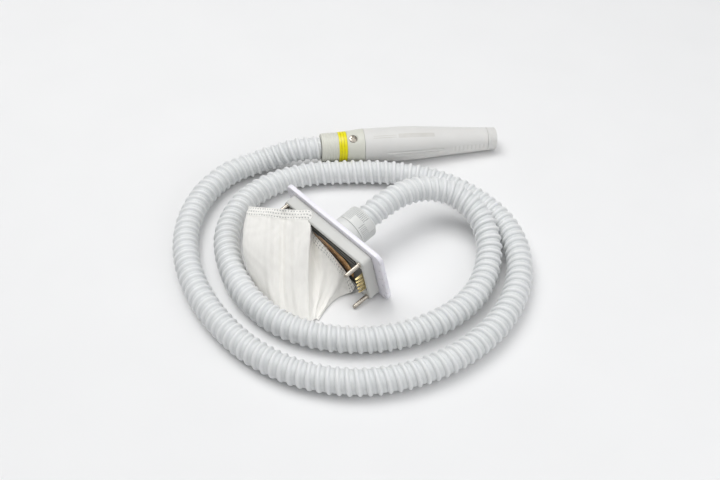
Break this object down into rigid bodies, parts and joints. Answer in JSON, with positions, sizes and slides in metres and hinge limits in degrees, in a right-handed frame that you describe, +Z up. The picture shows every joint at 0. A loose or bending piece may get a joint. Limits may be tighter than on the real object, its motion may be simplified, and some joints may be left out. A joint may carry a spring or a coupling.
{
  "type": "motor handpiece with hose and plug",
  "caption": "Tapered motor handpiece for dental or surgical work, with a ribbed hose laid in two loose turns and a rectangular contact plug with guide pins and a screw gland.",
  "frame": {"origin": "on the surface that the handpiece lies on, under the middle of the handpiece without its hose and plug", "axes": "+X along the handpiece towards its nose, +Z up, the hose and plug lie towards -Y"},
  "size_m": [0.3406, 0.3216, 0.0655],
  "materials": {
    "collar_plastic": "moulded, fine satin texture",
    "label_film": "printed self-adhesive film",
    "barrel_plastic": "moulded, satin",
    "steel": "turned stainless steel",
    "brass": "turned",
    "aluminium": "turned",
    "black_rubber": "moulded",
    "black_plastic": "moulded",
    "clear_tube": "extruded tube",
    "lamination": "stacked, varnished",
    "copper": "wound, varnished enamelled wire",
    "hose_vinyl": "extruded soft vinyl over a moulded-in helix",
    "plate_plastic": "moulded, smooth",
    "block_plastic": "moulded, satin",
    "amber_film": "laminated film",
    "gold": "gold-plated spring alloy",
    "gland_plastic": "moulded, ribbed for grip",
    "cover_fabric": "spun-bonded non-woven, welded hem"
  },
  "bodies": {
    "root": {"rear_collar": "collar_plastic", "label_band": "label_film", "barrel_shell": "barrel_plastic", "collar_screw": "steel", "screw_insert": "brass", "hose_cuff": "aluminium", "cuff_seal": "black_rubber", "cable_clamp": "black_plastic", "motor_cable": "black_rubber", "cooling_tube": "clear_tube", "motor_sleeve": "aluminium", "stator_core": "lamination", "rear_winding": "copper", "front_winding": "copper", "rear_carrier": "aluminium", "front_housing": "aluminium", "preload_spring": "steel", "rear_bearing": "steel", "front_bearing": "steel", "front_seal": "black_rubber", "seal_retainer": "steel", "ribbed_hose": "hose_vinyl", "cover_plate": "plate_plastic", "plug_block": "block_plastic", "contact_insulator": "black_plastic", "film_strip": "amber_film", "guide_pin_1": "steel", "guide_pin_2": "steel", "guide_pin_3": "steel", "guide_pin_4": "steel", "gland_gasket": "black_rubber", "gland_body": "gland_plastic", "thread_sleeve": "gland_plastic", "plate_screw_1": "steel", "plate_screw_2": "steel", "plate_screw_3": "steel", "plate_screw_4": "steel", "dust_cover": "cover_fabric"},
    "spindle": {"drive_spindle": "steel", "rotor_magnet": "lamination", "collet": "steel"},
    "lock_ring": {"nose_lock_ring": "barrel_plastic"},
    "ring": {"clamp_ring": "plate_plastic"},
    "nut": {"gland_nut": "gland_plastic"},
    "finger_1": {"contact_1": "gold"},
    "finger_2": {"contact_2": "gold"},
    "finger_3": {"contact_3": "gold"},
    "finger_4": {"contact_4": "gold"},
    "finger_5": {"contact_5": "gold"},
    "finger_6": {"contact_6": "gold"},
    "finger_7": {"contact_7": "gold"},
    "finger_8": {"contact_8": "gold"},
    "finger_9": {"contact_9": "gold"},
    "finger_10": {"contact_10": "gold"}
  },
  "joints": [
    {"name": "spindle_spin", "type": "hinge", "parent": "root", "child": "spindle", "pos_m": [0.02776, 0, 0.016], "axis": [0.9982, 0, -0.0593], "continuous": true},
    {"name": "lock_ring_turn", "type": "hinge", "parent": "root", "child": "lock_ring", "pos_m": [0.08665, 0, 0.0125], "axis": [0.9982, 0, -0.0593], "range_deg": [0, 45]},
    {"name": "clamp_slide", "type": "slide", "parent": "root", "child": "ring", "axis": [0.8243, 0.5312, 0.1959], "range_m": [0, 0.003]},
    {"name": "nut_turn", "type": "hinge", "parent": "ring", "child": "nut", "pos_m": [-0.07367, -0.13101, 0.03756], "axis": [0.8243, 0.5312, 0.1959], "range_deg": [0, 720]},
    {"name": "finger_1_flex", "type": "hinge", "parent": "root", "child": "finger_1", "pos_m": [-0.0784, -0.19354, 0.0402], "axis": [0.1647, 0.1061, -0.9806], "range_deg": [0, 6], "stiffness_Nm_per_rad": 0.05},
    {"name": "finger_2_flex", "type": "hinge", "parent": "root", "child": "finger_2", "pos_m": [-0.07757, -0.19301, 0.03529], "axis": [0.1647, 0.1061, -0.9806], "range_deg": [0, 6], "stiffness_Nm_per_rad": 0.05},
    {"name": "finger_3_flex", "type": "hinge", "parent": "root", "child": "finger_3", "pos_m": [-0.07675, -0.19248, 0.03039], "axis": [0.1647, 0.1061, -0.9806], "range_deg": [0, 6], "stiffness_Nm_per_rad": 0.05},
    {"name": "finger_4_flex", "type": "hinge", "parent": "root", "child": "finger_4", "pos_m": [-0.07593, -0.19195, 0.02549], "axis": [0.1647, 0.1061, -0.9806], "range_deg": [0, 6], "stiffness_Nm_per_rad": 0.05},
    {"name": "finger_5_flex", "type": "hinge", "parent": "root", "child": "finger_5", "pos_m": [-0.0751, -0.19142, 0.02058], "axis": [0.1647, 0.1061, -0.9806], "range_deg": [0, 6], "stiffness_Nm_per_rad": 0.05},
    {"name": "finger_6_flex", "type": "hinge", "parent": "root", "child": "finger_6", "pos_m": [-0.13257, -0.10949, 0.0402], "axis": [-0.1647, -0.1061, 0.9806], "range_deg": [0, 6], "stiffness_Nm_per_rad": 0.05},
    {"name": "finger_7_flex", "type": "hinge", "parent": "root", "child": "finger_7", "pos_m": [-0.13174, -0.10896, 0.03529], "axis": [-0.1647, -0.1061, 0.9806], "range_deg": [0, 6], "stiffness_Nm_per_rad": 0.05},
    {"name": "finger_8_flex", "type": "hinge", "parent": "root", "child": "finger_8", "pos_m": [-0.13092, -0.10843, 0.03039], "axis": [-0.1647, -0.1061, 0.9806], "range_deg": [0, 6], "stiffness_Nm_per_rad": 0.05},
    {"name": "finger_9_flex", "type": "hinge", "parent": "root", "child": "finger_9", "pos_m": [-0.1301, -0.1079, 0.02549], "axis": [-0.1647, -0.1061, 0.9806], "range_deg": [0, 6], "stiffness_Nm_per_rad": 0.05},
    {"name": "finger_10_flex", "type": "hinge", "parent": "root", "child": "finger_10", "pos_m": [-0.12927, -0.10737, 0.02058], "axis": [-0.1647, -0.1061, 0.9806], "range_deg": [0, 6], "stiffness_Nm_per_rad": 0.05}
  ],
  "couplings": [
    {"joint": "clamp_slide", "follows": "nut_turn", "m_per_rad": 0.00023873},
    {"joint": "finger_2_flex", "follows": "finger_1_flex", "ratio": 1},
    {"joint": "finger_3_flex", "follows": "finger_1_flex", "ratio": 1},
    {"joint": "finger_4_flex", "follows": "finger_1_flex", "ratio": 1},
    {"joint": "finger_5_flex", "follows": "finger_1_flex", "ratio": 1},
    {"joint": "finger_6_flex", "follows": "finger_1_flex", "ratio": 1},
    {"joint": "finger_7_flex", "follows": "finger_1_flex", "ratio": 1},
    {"joint": "finger_8_flex", "follows": "finger_1_flex", "ratio": 1},
    {"joint": "finger_9_flex", "follows": "finger_1_flex", "ratio": 1},
    {"joint": "finger_10_flex", "follows": "finger_1_flex", "ratio": 1}
  ]
}
